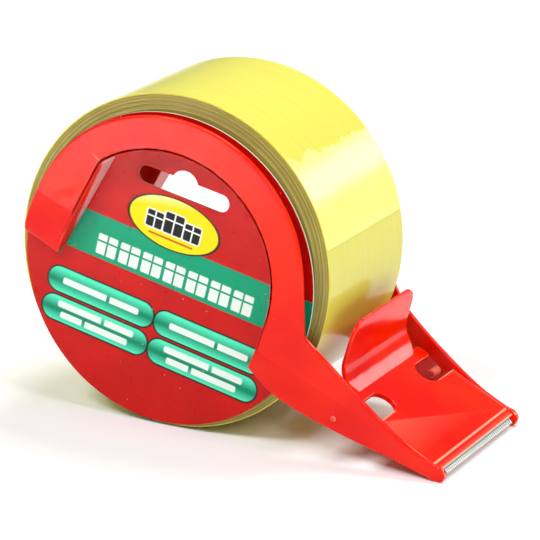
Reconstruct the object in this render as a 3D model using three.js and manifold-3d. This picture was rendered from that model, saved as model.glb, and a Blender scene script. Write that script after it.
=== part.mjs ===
// Hand dispenser for packaging tape: a one-piece moulded frame whose two C-shaped arms hold the
// roll by its paper core, a printed header card on the right-hand side, and a serrated steel blade
// across the front of a sloping platform.
//
// The frame is one moulding. It is modelled as the sections that a mould maker would name (arms,
// hub ribs, side walls, platform and tab), a small gap apart, so that the spaces between them
// stay open.
//
// Units are millimetres. Inside the design frame the roll's centre is the origin, the roll's axis
// is Y, +X points to the blade and +Z is up. The right-hand side is -Y. Side views are drawn as
// (x, z) outlines, and a distance from the middle plane is written as a positive "reach".
import * as THREE from "three";
import { mergeVertices } from "three/addons/utils/BufferGeometryUtils.js";
import Module from "manifold-3d";

const wasm = await Module();
wasm.setup();

const DEGREE = Math.PI / 180;
const GAP = 0.3; // between pieces that touch
const WALL = 1.5; // moulded wall thickness

const ROLL = { width: 48, radius: 47.45, coreBore: 38, coreWall: 2.3, segments: 96 };
const CARD = { centre: [-1.3, -2.1], radius: 44.4, reach: 25.4, thickness: 0.6 };
const ARM = { reach: 30, hub: [-1.28, -1.14], outer: 42.4, inner: 33.65, arcSegments: 40 };
const ARM_DROP = { leavesArcAt: 24, x: 41.8, corner: 6.4, from: -2, innerArcFrom: -24 }; // turns down
const RIB = { endReach: 20.5, startAngle: 20, thickness: 1.5, footSetback: 1.5, crestDegrees: 2, steps: 24 };
const PLATFORM = { front: [79, -45.7], rear: [54.2, -31.55], halfWidth: 24.3 };
const RELIEF = { from: 19, to: 26.2, neck: 9.9, barHalfWidth: 24, barEndRadius: 1 };
const TAB = { topHalfWidth: 14.6, shoulderHalfWidth: 20, footHalfWidth: 22, thickness: 1.2, steps: 5 };
const BLADE = { length: 46, thickness: 0.5, teeth: 40, toothDepth: 1.1, exposed: 1.7, gap: 0.15 };
const LIP = { drop: 2.1, run: 1.8, skin: 0.4, jaw: 0.8, jawSetback: 0.6, rootOverlap: 0.6, slotStart: 0.75 };
const PEG = { centre: [57.6, -37.6], radius: 1.3, length: 4.2, rootReach: 25.6, segments: 16 };

// The euro hang hole in the card: a slot with a round bump in the middle of its upper edge.
const HANG_HOLE = {
  centre: [4, 21.6],
  length: 28.4,
  height: 5.1,
  bumpRadius: 4.3,
  bumpLift: 0.8,
  tilt: -13.6, // degrees
};

// The slot in the card that the hub rib passes through, and how far it opens past the rib.
const RIB_SLOT = { slack: 0.6, inner: 0.5, window: 1.6, ends: 1.5, startDegrees: 2, crestDegrees: 3 };

// Side view of an arm's tail, in the order in which the outline meets it.
const TAIL = {
  creaseOuter: [-39.7, 17.4],
  shoulder: [-45.0, 6.9],
  heel: [-45.0, 4.5],
  notch: [-42.8, 3.4],
  point: [-34.6, -0.8],
  creaseInner: [-27.8, 11.4],
  chordTop: [-18.95, 27.4],
  bendReach: 28.6, // the tail beyond the crease leans in towards the roll
  waistReach: 28.9,
  waistRise: 1,
  bandOverlap: 0.4, // the tail starts this far inside the band, so that the two join
};

// A side wall's stations from the arm to the nose. Each has an upper, middle and lower point as
// [x, z, reach], so that the wall narrows from the arm's width to the platform's and its lower
// half leans in below a soft crease.
const WALL_STATIONS = [
  [[42.4, -13.8, 30], [27.6, -20.2, 30], [24.4, -25.8, 27.8]],
  [[45.6, -18.2, 28.5], [34.5, -23.0, 29.4], [31.0, -32.1, 27.4]],
  [[49.0, -22.0, 27.3], [40.2, -26.0, 28.4], [39.7, -37.0, 26.4]],
  [[57.9, -30.3, 26.8], [53.8, -33.2, 27.2], [51.7, -41.4, 26.2]],
  [[69.8, -40.1, 26.8], [68.5, -42.0, 26.8], [67.0, -46.1, 26.2]],
  [[78.6, -45.2, 26.8], [78.6, -47.0, 26.7], [77.6, -49.7, 26.2]],
  [[81.0, -46.0, 26.7], [81.2, -47.6, 26.7], [80.4, -50.4, 26.2]],
  [[82.3, -47.2, 26.5], [82.6, -48.4, 26.5], [82.2, -49.8, 26.3]],
];
const NOSE_FOOT = WALL_STATIONS[6][2];

// Side view of the tab's front face from its foot to its top edge: [x, z].
const TAB_PROFILE = [
  [53.9, -31.5],
  [50.5, -28.7],
  [50.0, -26.4],
  [50.5, -23.2],
  [51.9, -18.0],
  [52.8, -14.8],
  [53.2, -13.2],
  [53.4, -12.1],
  [53.5, -11.6],
];

// --- geometry helpers -----------------------------------------------------------------------

// The geometry with its faces turned outwards, whichever way round it was built.
function outward(geometry) {
  const solid = geometry.index ? geometry.toNonIndexed() : geometry;
  const place = solid.getAttribute("position");
  const corner = [0, 1, 2].map(() => new THREE.Vector3());
  let volume = 0;
  for (let i = 0; i < place.count; i += 3) {
    corner.forEach((point, k) => point.fromBufferAttribute(place, i + k));
    volume += corner[0].dot(corner[1].cross(corner[2]));
  }
  const points = Array.from(place.array);
  if (volume < 0) {
    for (let i = 0; i < points.length; i += 9) {
      const second = points.slice(i + 3, i + 6);
      points.splice(i + 3, 3, ...points.slice(i + 6, i + 9));
      points.splice(i + 6, 3, ...second);
    }
  }
  const turned = new THREE.BufferGeometry();
  turned.setAttribute("position", new THREE.Float32BufferAttribute(points, 3));
  turned.computeVertexNormals();
  return turned;
}

function toSolid(geometry) {
  const merged = mergeVertices(
    new THREE.BufferGeometry().setAttribute("position", geometry.getAttribute("position")),
    1e-4,
  );
  const mesh = new wasm.Mesh({
    numProp: 3,
    vertProperties: merged.attributes.position.array,
    triVerts: new Uint32Array(merged.index.array),
  });
  return new wasm.Manifold(mesh);
}

function fromSolid(solid) {
  const { vertProperties, triVerts } = solid.getMesh();
  const geometry = new THREE.BufferGeometry();
  geometry.setAttribute("position", new THREE.BufferAttribute(vertProperties, 3));
  geometry.setIndex(new THREE.BufferAttribute(triVerts, 1));
  return outward(geometry);
}

function joined(...geometries) {
  return fromSolid(geometries.map(toSolid).reduce((whole, piece) => whole.add(piece)));
}

// A side-view shape made solid between two reaches from the middle plane.
function sidePlate(shape, fromReach, toReach, curveSegments = ARM.arcSegments) {
  const geometry = new THREE.ExtrudeGeometry(shape, {
    depth: toReach - fromReach,
    bevelEnabled: false,
    curveSegments,
  });
  geometry.rotateX(Math.PI / 2);
  geometry.translate(0, toReach, 0);
  return outward(geometry);
}

// A closed body between two grids of points that face each other.
function bodyBetween(frontRows, backRows) {
  const columns = frontRows[0].length;
  const count = frontRows.length * columns;
  const points = [...frontRows.flat(), ...backRows.flat()];
  const index = [];
  const quad = (a, b, c, d) => index.push(a, b, c, a, c, d);
  const at = (row, column) => row * columns + column;
  for (let row = 0; row + 1 < frontRows.length; row++) {
    for (let column = 0; column + 1 < columns; column++) {
      const ring = [at(row, column), at(row, column + 1), at(row + 1, column + 1), at(row + 1, column)];
      quad(...ring);
      quad(...ring.map((i) => i + count).reverse());
    }
  }
  const rim = [];
  for (let column = 0; column < columns - 1; column++) rim.push(at(0, column));
  for (let row = 0; row < frontRows.length - 1; row++) rim.push(at(row, columns - 1));
  for (let column = columns - 1; column > 0; column--) rim.push(at(frontRows.length - 1, column));
  for (let row = frontRows.length - 1; row > 0; row--) rim.push(at(row, 0));
  rim.forEach((from, i) => {
    const to = rim[(i + 1) % rim.length];
    quad(to, from, from + count, to + count);
  });
  const geometry = new THREE.BufferGeometry();
  geometry.setAttribute("position", new THREE.Float32BufferAttribute(points.flat(), 3));
  geometry.setIndex(index);
  return outward(geometry);
}

function polar(centre, radius, degrees) {
  return [
    centre[0] + radius * Math.cos(degrees * DEGREE),
    centre[1] + radius * Math.sin(degrees * DEGREE),
  ];
}

function angleOf(centre, point) {
  return Math.atan2(point[1] - centre[1], point[0] - centre[0]) / DEGREE;
}

// The point reached from a line's end after moving along it and to its left.
function alongLine(from, to, along, left) {
  const length = Math.hypot(to[0] - from[0], to[1] - from[1]);
  const unit = [(to[0] - from[0]) / length, (to[1] - from[1]) / length];
  return [
    from[0] + unit[0] * along - unit[1] * left,
    from[1] + unit[1] * along + unit[0] * left,
  ];
}

function addArc(path, centre, radius, fromDegrees, toDegrees) {
  path.absarc(...centre, radius, fromDegrees * DEGREE, toDegrees * DEGREE, toDegrees < fromDegrees);
}

// --- frame moulding -------------------------------------------------------------------------

// The C-shaped band: over the top of the hub from the crease at the tail to the side wall.
function armBandShape() {
  const shape = new THREE.Shape();
  const [wallTop, wallMiddle] = WALL_STATIONS[0];
  shape.moveTo(...TAIL.creaseOuter);
  addArc(shape, ARM.hub, ARM.outer, angleOf(ARM.hub, TAIL.creaseOuter), ARM_DROP.leavesArcAt);
  shape.quadraticCurveTo(ARM_DROP.x, ARM_DROP.corner, ARM_DROP.x, ARM_DROP.from);
  shape.lineTo(wallTop[0], wallTop[1] + GAP);
  shape.lineTo(wallMiddle[0], wallMiddle[1] + GAP);
  addArc(shape, ARM.hub, ARM.inner, ARM_DROP.innerArcFrom, angleOf(ARM.hub, TAIL.chordTop));
  shape.lineTo(...TAIL.creaseInner);
  return shape;
}

// The flat tail beyond the crease, leaning in towards the roll.
function armTail() {
  const edge = (point, reach) => [point[0], reach, point[1]];
  const middle = (a, b) => [(a[0] + b[0]) / 2, (a[1] + b[1]) / 2];
  const start = (crease, end) => alongLine(crease, end, -TAIL.bandOverlap, 0);
  const upper = [
    [start(TAIL.creaseOuter, TAIL.shoulder), ARM.reach],
    [start(middle(TAIL.creaseOuter, TAIL.creaseInner), TAIL.notch), ARM.reach],
    [start(TAIL.creaseInner, TAIL.point), ARM.reach],
  ];
  const lower = [TAIL.heel, TAIL.notch, TAIL.point].map((point) => [point, TAIL.bendReach]);
  const waist = [
    [TAIL.shoulder, TAIL.waistReach],
    [middle(TAIL.shoulder, TAIL.point), TAIL.waistReach],
    [alongLine(TAIL.point, TAIL.creaseInner, TAIL.waistRise, 0), TAIL.waistReach],
  ];
  const grid = (shift) =>
    [upper, waist, lower].map((row) => row.map(([point, reach]) => edge(point, reach - shift)));
  return bodyBetween(grid(0), grid(WALL));
}

function arm() {
  return joined(sidePlate(armBandShape(), ARM.reach - WALL, ARM.reach), armTail());
}

// The rib along the band's inner edge. It passes through the card and into the core, and its
// straight end follows the tail as that leans in.
function hubRib() {
  const outer = ARM.inner + RIB.thickness;
  const chordAngle = angleOf(ARM.hub, TAIL.chordTop);
  const underBand = ARM.reach - WALL - GAP;
  const underTail = TAIL.bendReach - WALL - GAP;
  const foot = alongLine(TAIL.point, TAIL.creaseInner, RIB.footSetback, 0);
  const stations = [];
  for (let step = 0; step <= RIB.steps; step++) {
    const angle = RIB.startAngle + ((chordAngle - RIB.startAngle) * step) / RIB.steps;
    const outerAngle = step === RIB.steps ? angle + RIB.crestDegrees : angle;
    stations.push([polar(ARM.hub, ARM.inner, angle), polar(ARM.hub, outer, outerAngle), underBand]);
  }
  const behindCrease = alongLine(TAIL.creaseInner, TAIL.chordTop, 0, RIB.thickness);
  stations.push([TAIL.creaseInner, behindCrease, underBand]);
  stations.push([foot, alongLine(foot, TAIL.creaseInner, 0, RIB.thickness), underTail]);
  const wall = (face) =>
    stations.map((station) => {
      const [x, z] = station[face];
      return [[x, station[2], z], [x, RIB.endReach, z]];
    });
  return bodyBetween(wall(0), wall(1));
}

function sideWall() {
  const grid = (shift) =>
    WALL_STATIONS.map((station) => station.map(([x, z, reach]) => [x, reach - shift, z]));
  return bodyBetween(grid(0), grid(WALL));
}

// A short peg on the inside of each side wall, under the platform's relief.
function stopPeg() {
  const peg = new THREE.CylinderGeometry(PEG.radius, PEG.radius, PEG.length, PEG.segments);
  peg.translate(PEG.centre[0], PEG.rootReach - PEG.length / 2, PEG.centre[1]);
  return outward(peg);
}

function sideWallWithPeg() {
  return joined(sideWall(), stopPeg());
}

// The platform in its own plane: x runs back up the slope from the front crease, y across.
// Two D-shaped reliefs leave a neck and a cross bar, so that the tab can flex.
function platformShape() {
  const shape = new THREE.Shape();
  const { from, to, neck, barHalfWidth, barEndRadius } = RELIEF;
  const length = platformLength();
  const endRadius = (to - from) / 2;
  const reliefEnd = (side) => [from + endRadius, side * (neck + endRadius)];
  const barEnd = (side) => [to + barEndRadius, side * (barHalfWidth - barEndRadius)];
  shape.moveTo(0, -PLATFORM.halfWidth);
  shape.lineTo(from, -PLATFORM.halfWidth);
  addArc(shape, reliefEnd(-1), endRadius, 180, 0);
  addArc(shape, barEnd(-1), barEndRadius, 180, 270);
  shape.lineTo(length, -barHalfWidth);
  shape.lineTo(length, barHalfWidth);
  addArc(shape, barEnd(1), barEndRadius, 90, 180);
  addArc(shape, reliefEnd(1), endRadius, 0, -180);
  shape.lineTo(from, PLATFORM.halfWidth);
  shape.lineTo(0, PLATFORM.halfWidth);
  return shape;
}

function platformLength() {
  const { front, rear } = PLATFORM;
  return Math.hypot(rear[0] - front[0], rear[1] - front[1]);
}

// A point of the lip's section: along the bevel from the front crease, and in below it.
function lipPoint(along, below) {
  const [x, z] = PLATFORM.front;
  return alongLine([x, z], [x + LIP.run, z - LIP.drop], along, -below);
}

// The bevelled lip below the front crease, with the slot that the blade's back sits in.
function lip() {
  const length = Math.hypot(LIP.run, LIP.drop);
  const slotDepth = BLADE.thickness + 2 * BLADE.gap;
  const jawTop = LIP.skin + slotDepth;
  const section = [
    [0, 0],
    [length, 0],
    [length, LIP.skin],
    [LIP.slotStart, LIP.skin],
    [LIP.slotStart, jawTop],
    [length - LIP.jawSetback, jawTop],
    [length - LIP.jawSetback, jawTop + LIP.jaw],
    [-LIP.rootOverlap, jawTop + LIP.jaw],
    [-LIP.rootOverlap, LIP.rootOverlap],
  ];
  const outline = section.map(([along, below]) => new THREE.Vector2(...lipPoint(along, below)));
  return sidePlate(new THREE.Shape(outline), -BLADE.length / 2, BLADE.length / 2);
}

function platform() {
  const plate = new THREE.ExtrudeGeometry(platformShape(), {
    depth: WALL,
    bevelEnabled: false,
    curveSegments: 6,
  });
  const { front, rear } = PLATFORM;
  plate.translate(0, 0, -WALL);
  plate.rotateZ(Math.PI);
  plate.rotateY(Math.PI - Math.atan2(rear[1] - front[1], rear[0] - front[0]));
  plate.translate(front[0], 0, front[1]);
  return outward(plate);
}

// The curved tab that the tape's free end is pressed against, a gap behind the platform.
function tab() {
  const widths = TAB_PROFILE.map(([, z]) => tabHalfWidth(z));
  const normals = TAB_PROFILE.map((_, i) => profileNormal(TAB_PROFILE, i));
  const row = (i, depth) => {
    const [x, z] = TAB_PROFILE[i];
    const [nx, nz] = normals[i];
    const points = [];
    for (let step = -TAB.steps; step <= TAB.steps; step++) {
      points.push([x + nx * depth, (widths[i] * step) / TAB.steps, z + nz * depth]);
    }
    return points;
  };
  const grid = (depth) => TAB_PROFILE.map((_, i) => row(i, depth));
  return bodyBetween(grid(0), grid(TAB.thickness));
}

// Half the tab's width at a height: wide at the foot, with round shoulders at the top.
function tabHalfWidth(z) {
  const top = TAB_PROFILE.at(-1)[1];
  const foot = TAB_PROFILE[0][1];
  const shoulder = TAB.shoulderHalfWidth - TAB.topHalfWidth;
  const below = top - z;
  if (below < shoulder) {
    return TAB.topHalfWidth + Math.sqrt(shoulder ** 2 - (shoulder - below) ** 2);
  }
  const share = (below - shoulder) / (top - foot - shoulder);
  return TAB.shoulderHalfWidth + (TAB.footHalfWidth - TAB.shoulderHalfWidth) * share ** 2;
}

// The direction from a profile's front face into its material, at one of its points.
function profileNormal(profile, i) {
  const before = profile[Math.max(i - 1, 0)];
  const after = profile[Math.min(i + 1, profile.length - 1)];
  const length = Math.hypot(after[0] - before[0], after[1] - before[1]);
  return [-(after[1] - before[1]) / length, (after[0] - before[0]) / length];
}

// --- blade, card and roll -------------------------------------------------------------------

// The blade in its own plane: x towards the teeth, y across.
function bladeShape(depth) {
  const half = BLADE.length / 2;
  const pitch = BLADE.length / BLADE.teeth;
  const shape = new THREE.Shape();
  shape.moveTo(-depth, -half);
  shape.lineTo(-BLADE.toothDepth, -half);
  for (let tooth = 0; tooth < BLADE.teeth; tooth++) {
    shape.lineTo(0, -half + (tooth + 0.5) * pitch);
    shape.lineTo(-BLADE.toothDepth, -half + (tooth + 1) * pitch);
  }
  shape.lineTo(-depth, half);
  return shape;
}

function blade() {
  const lipLength = Math.hypot(LIP.run, LIP.drop);
  const depth = BLADE.exposed + lipLength - LIP.slotStart - GAP;
  const strip = new THREE.ExtrudeGeometry(bladeShape(depth), {
    depth: BLADE.thickness,
    bevelEnabled: false,
  });
  strip.translate(lipLength + BLADE.exposed, 0, -LIP.skin - BLADE.gap - BLADE.thickness);
  strip.rotateY(Math.atan2(LIP.drop, LIP.run));
  strip.translate(PLATFORM.front[0], 0, PLATFORM.front[1]);
  return outward(strip);
}

function hangHole() {
  const { centre, length, height, bumpRadius, bumpLift, tilt } = HANG_HOLE;
  const endRadius = height / 2;
  const reach = length / 2 - endRadius;
  const lift = Math.asin((endRadius - bumpLift) / bumpRadius) / DEGREE;
  const turned = (x, y) => {
    const radius = Math.hypot(x, y);
    return polar(centre, radius, Math.atan2(y, x) / DEGREE + tilt);
  };
  const path = new THREE.Path();
  path.moveTo(...turned(reach, -endRadius));
  addArc(path, turned(reach, 0), endRadius, tilt - 90, tilt + 90);
  addArc(path, turned(0, bumpLift), bumpRadius, tilt + lift, tilt + 180 - lift);
  addArc(path, turned(-reach, 0), endRadius, tilt + 90, tilt + 270);
  path.closePath();
  return path;
}

// A curved slot around the rib's arc that opens into a straight window beside its chord.
function ribSlot() {
  const { slack, inner, window, ends, startDegrees, crestDegrees } = RIB_SLOT;
  const start = RIB.startAngle - startDegrees;
  const crest = angleOf(ARM.hub, TAIL.chordTop) + crestDegrees;
  const innerRadius = ARM.inner - inner;
  const outerRadius = ARM.inner + RIB.thickness + slack;
  const windowTop = alongLine(TAIL.chordTop, TAIL.creaseInner, -ends, window);
  const windowFoot = alongLine(TAIL.point, TAIL.creaseInner, -ends, -inner);
  const outerFoot = alongLine(TAIL.point, TAIL.creaseInner, -slack, RIB.thickness + slack);
  const outerTop = alongLine(TAIL.creaseInner, TAIL.chordTop, 0, RIB.thickness + slack);
  const path = new THREE.Path();
  path.moveTo(...windowFoot);
  path.lineTo(...windowTop);
  addArc(path, ARM.hub, innerRadius, angleOf(ARM.hub, windowTop), start);
  addArc(path, ARM.hub, outerRadius, start, crest);
  path.lineTo(...outerTop);
  path.lineTo(...outerFoot);
  path.closePath();
  return path;
}

function card() {
  const shape = new THREE.Shape();
  addArc(shape, CARD.centre, CARD.radius, 0, 360);
  shape.holes.push(hangHole(), ribSlot());
  return sidePlate(shape, CARD.reach - CARD.thickness, CARD.reach, 20);
}

// A ring about the roll's axis.
function ring(innerRadius, outerRadius, width) {
  const corners = [
    [innerRadius, -width / 2],
    [outerRadius, -width / 2],
    [outerRadius, width / 2],
    [innerRadius, width / 2],
    [innerRadius, -width / 2],
  ];
  const profile = corners.map(([radius, y]) => new THREE.Vector2(radius, y));
  return outward(new THREE.LatheGeometry(profile, ROLL.segments));
}

// --- materials and assembly -----------------------------------------------------------------

const MATERIALS = {
  moulding: new THREE.MeshStandardMaterial({ color: 0xe61806, roughness: 0.28, metalness: 0 }),
  steel: new THREE.MeshStandardMaterial({ color: 0xb9bfbd, roughness: 0.35, metalness: 1 }),
  card: new THREE.MeshStandardMaterial({ color: 0xc01a0c, roughness: 0.3, metalness: 0 }),
  paper: new THREE.MeshStandardMaterial({ color: 0xb8a284, roughness: 0.85, metalness: 0 }),
  tape: new THREE.MeshStandardMaterial({ color: 0xe6dd75, roughness: 0.3, metalness: 0 }),
};

function node(name, geometry, material, side = 1) {
  const mesh = new THREE.Mesh(geometry, MATERIALS[material]);
  mesh.name = name;
  mesh.scale.y = side;
  return mesh;
}

// The angle by which the dispenser, standing on its roll and its two nose tips, is turned
// nose-up from the design frame.
function restPitch() {
  const [x, z] = NOSE_FOOT;
  return -Math.asin(ROLL.radius / Math.hypot(x, z)) - Math.atan2(z, x);
}

function build() {
  const standing = new THREE.Group();
  const sections = { arm: arm(), hub_rib: hubRib(), side_wall: sideWallWithPeg() };
  const sides = { right: -1, left: 1 };
  for (const [side, sign] of Object.entries(sides)) {
    for (const [section, geometry] of Object.entries(sections)) {
      standing.add(node(`${side}_${section}`, geometry, "moulding", sign));
    }
  }
  const coreRadius = ROLL.coreBore + ROLL.coreWall;
  standing.add(node("blade_platform", joined(platform(), lip()), "moulding"));
  standing.add(node("tape_tab", tab(), "moulding"));
  standing.add(node("serrated_blade", blade(), "steel"));
  standing.add(node("header_card", card(), "card", sides.right));
  standing.add(node("paper_core", ring(ROLL.coreBore, coreRadius, ROLL.width), "paper"));
  standing.add(node("tape_roll", ring(coreRadius + GAP, ROLL.radius, ROLL.width), "tape"));
  standing.rotation.y = -restPitch();
  return standOnFloor(standing);
}

// The part's own frame: its origin is at the middle of the base of the box around it.
function standOnFloor(standing) {
  const part = new THREE.Group();
  part.add(standing);
  part.updateMatrixWorld(true);
  const box = new THREE.Box3().setFromObject(standing, true);
  standing.position.set(-(box.min.x + box.max.x) / 2, 0, -box.min.z);
  return part;
}

export default build();
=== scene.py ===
"""The looks of a hand tape dispenser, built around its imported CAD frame.

Every piece is drawn in the design frame: millimetres, the roll's centre at the origin, the roll's
axis along Y, +X towards the blade and +Z up. The right-hand side is -Y, and a distance from the
middle plane is a positive "reach". DESIGN_TO_ROW then stands the pieces on the floor where the CAD
nodes are.
"""
import math
import random

import bmesh
import bpy
from mathutils import Matrix, Vector


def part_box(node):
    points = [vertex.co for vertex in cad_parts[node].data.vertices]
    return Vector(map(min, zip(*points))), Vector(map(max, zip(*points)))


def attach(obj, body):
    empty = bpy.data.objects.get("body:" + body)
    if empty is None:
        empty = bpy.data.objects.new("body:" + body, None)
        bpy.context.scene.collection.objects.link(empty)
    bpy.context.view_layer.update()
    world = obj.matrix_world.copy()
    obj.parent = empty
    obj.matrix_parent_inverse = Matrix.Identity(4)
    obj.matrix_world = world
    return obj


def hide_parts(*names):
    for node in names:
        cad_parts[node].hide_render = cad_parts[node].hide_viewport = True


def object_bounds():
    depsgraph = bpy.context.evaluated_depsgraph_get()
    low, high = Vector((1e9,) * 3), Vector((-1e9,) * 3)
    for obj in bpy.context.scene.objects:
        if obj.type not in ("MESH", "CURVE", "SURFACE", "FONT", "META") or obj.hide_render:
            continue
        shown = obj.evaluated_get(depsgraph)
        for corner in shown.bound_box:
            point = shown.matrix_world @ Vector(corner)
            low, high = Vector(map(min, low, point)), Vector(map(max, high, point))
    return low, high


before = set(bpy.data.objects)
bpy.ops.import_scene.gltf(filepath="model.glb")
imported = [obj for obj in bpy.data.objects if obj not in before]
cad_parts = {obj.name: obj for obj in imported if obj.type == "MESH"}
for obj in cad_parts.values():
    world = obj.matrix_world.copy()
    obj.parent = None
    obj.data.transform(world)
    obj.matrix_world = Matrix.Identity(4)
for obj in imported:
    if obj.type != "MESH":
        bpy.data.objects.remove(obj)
cad_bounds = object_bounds()

MM = 0.001

# --- dimensions -------------------------------------------

WALL = 1.5  # moulded wall thickness
RIM = 0.45  # rounding along a wall's edges
RIM_STEPS = 4
LEAST_RADIUS = 0.04  # what is left of the rounding where a wall's rounded end closes
HOLD = 0.4  # a row of points this far inside a rim keeps the face beyond it flat
LARGEST_HOLD = 0.3  # the same as a share of a narrow face's width
CREASE_HOLD = 0.02  # the same beside the tail's crease, as a share of the tail's length

ROLL_RADIUS = 47.45
ROLL_HALF_WIDTH = 24.0
CORE_BORE = 38.0
CORE_RADIUS = 40.3
CORE_RECESS = 0.1  # how far the core's ends lie inside the tape's
TAPE_INNER = 40.4

HUB = (-1.28, -1.14)  # centre of both arms' inner arcs and of the hub ribs
ARM = {"reach": 30.0, "inner": 33.5, "outer": 42.9, "outer_centre": (-0.5, -0.6)}

# The front of the arm, where its outer edge leaves the arc and turns down to the side wall.
ARM_DROP = {
    "leaves_arc": 20.0,
    "corner": (42.1, 6.4),
    "from": (42.1, -2.0),
    "to": (42.3, -9.0),
    "inner_from": -4.0,
    "inner_to": -24.0,
}

# Side view of the arm's end beyond its crease, which is flat and leans in towards the roll.
TAIL = {
    "crease_outer": (-39.7, 17.4),
    "shoulder": (-45.0, 6.9),
    "heel": (-44.9, 4.6),
    "point": (-34.6, -0.8),
    "crease_inner": (-27.8, 11.4),
    "chord_top": (-18.95, 27.4),
    "corner_run": 1.2,
    "corner_degrees": 2.0,
    "outer_share": 0.75,  # of the outer arc up to the chord's top, spent beside the chord
    "lean": 2.0,
}
RIB = {"end_reach": 20.5, "start_angle": 20.0, "thickness": 1.5, "sunk": 0.3, "foot_setback": 1.5}

# A side wall from the arm to the nose: (x, z, reach) of its upper edge, crease and lower edge.
WALL_ROWS = [
    ((42.4, -13.8, 30.0), (28.6, -19.75, 30.0), (27.6, -20.2, 30.0)),
    ((43.3, -15.2, 29.5), (29.6, -20.9, 29.9), (24.4, -25.8, 27.8)),
    ((45.6, -18.2, 28.5), (34.5, -23.0, 29.4), (31.0, -32.1, 27.4)),
    ((49.0, -22.0, 27.3), (40.2, -26.0, 28.4), (39.7, -37.0, 26.4)),
    ((57.9, -30.3, 26.8), (53.8, -33.2, 27.2), (51.7, -41.4, 26.2)),
    ((69.8, -40.1, 26.8), (68.5, -42.0, 26.8), (67.0, -46.1, 26.2)),
    ((78.6, -45.2, 26.8), (78.6, -47.0, 26.7), (77.6, -49.7, 26.2)),
    ((81.0, -46.0, 26.7), (81.2, -47.6, 26.7), (80.4, -50.4, 26.2)),
    ((82.3, -47.2, 26.5), (82.6, -48.4, 26.5), (82.2, -49.8, 26.3)),
]
NOSE_FOOT = (80.4, -50.4)
WALL_CREASE = 0.93  # the crease's share of the way across a row, where the arm meets the side wall
BESIDE_CREASE = {"above": 0.97, "below": 0.05}  # shares of the way to it, and on from it

PLATFORM = {"front": (79.0, -45.7), "rear": (54.2, -31.55), "half_width": 25.4}
RELIEF = {"from": 18.8, "to": 26.3, "neck": 10.9, "bar_half_width": 24.2, "bar_end": 1.0, "bar_depth": 4.2}
LIP = {"run": 2.15, "drop": 1.5}
BEVEL = {"crease": 0.15, "rim": 0.3, "steps": 3}
RIM_ANGLE = math.radians(60)  # the platform's edges that turn by more than this are rims
BROAD_FACE = 60.0  # square millimetres; a larger face is held flat inside its rims
TAB_PROFILE = [
    (54.5, -32.7),
    (53.9, -31.6),
    (52.7, -29.85),
    (51.55, -28.15),
    (51.2, -27.4),
    (50.6, -25.8),
    (50.4, -24.2),
    (50.7, -22.2),
    (51.2, -20.5),
    (51.9, -18.0),
    (52.8, -14.8),
    (53.2, -13.2),
    (53.5, -11.6),
]
TAB = {"top_half_width": 14.6, "shoulder_half_width": 20.0, "waist_half_width": 21.2, "thickness": 1.2}
TAB_HEEL = {"top": -27.6, "half_width": 17.2}  # the tab narrows below this height
GATE = {"centre": (49.9, -36.9), "reach": 26.95, "radius": 0.75}  # the scar of the moulding gate
GATE_TIP = ((-0.2, 0.5), (-0.1, 0.85), (0.1, 1.0), (0.6, 1.0))  # (distance inwards, share of radius)
PEG = {"centre": (57.6, -37.6), "radius": 1.3, "tip_reach": 21.4, "root_reach": 25.8, "root_share": 1.05}
PEG_TIP = ((0.0, 0.55), (0.15, 0.8), (0.4, 0.95), (0.8, 1.0))  # (distance from the tip, share of radius)
BLADE = {
    "half_length": 23.0,
    "thickness": 0.5,
    "exposed": 1.6,
    "seated": 1.2,
    "bare": 0.3,  # how far past the lip the grooves start
    "teeth": 42,
    "depth": 1.0,
    "groove": 0.34,
    "tip_drop": 0.2,
    "sunk": 0.35,  # the blade's face lies this far below the lip's
    "cyan_reflection": (0.34, 0.22),  # the painted cyan reflection fades out between these distances past the lip
}

CARD = {"centre": (-1.3, -2.1), "radius": 44.4, "reach": 25.4, "thickness": 0.6}
HANG_HOLE = {"centre": (4.0, 21.6), "length": 28.4, "height": 5.1, "bump": 4.3, "lift": 0.8, "tilt": -13.6}
RIB_SLOT = {"slack": 0.6, "inner": 0.15, "window": 1.6, "ends": 1.5, "start": 2.0, "crest": 3.0}


def rest_pitch():
    """How far the dispenser, standing on its roll and its nose tips, is turned nose-up."""
    x, z = NOSE_FOOT
    return -math.asin(ROLL_RADIUS / math.hypot(x, z)) - math.atan2(z, x)


def roll_centre():
    low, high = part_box("tape_roll")
    return (low + high) / 2


PITCH = rest_pitch()
DESIGN_TO_ROW = Matrix.Translation(roll_centre()) @ Matrix.Rotation(-PITCH, 4, "Y") @ Matrix.Scale(MM, 4)


# --- curves in the side view ------------------------------

def polar(centre, radius, degrees):
    angle = math.radians(degrees)
    return (centre[0] + radius * math.cos(angle), centre[1] + radius * math.sin(angle))


def angle_of(centre, point):
    return math.degrees(math.atan2(point[1] - centre[1], point[0] - centre[0]))


def between(a, b, share):
    return tuple(p + (q - p) * share for p, q in zip(a, b))


def along_line(start, end, along, left):
    """The point reached from start after moving along the line to end, and to its left."""
    length = math.dist(start, end)
    ux, uy = (end[0] - start[0]) / length, (end[1] - start[1]) / length
    return (start[0] + ux * along - uy * left, start[1] + uy * along + ux * left)


def line(start, end):
    return lambda t: between(start, end, t)


def arc(centre, radius, start, end):
    return lambda t: polar(centre, radius, start + (end - start) * t)


def bend(start, corner, end):
    return lambda t: between(between(start, corner, t), between(corner, end, t), t)


def arc_points(centre, radius, start, end, steps):
    return [arc(centre, radius, start, end)(i / steps) for i in range(steps + 1)]


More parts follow.
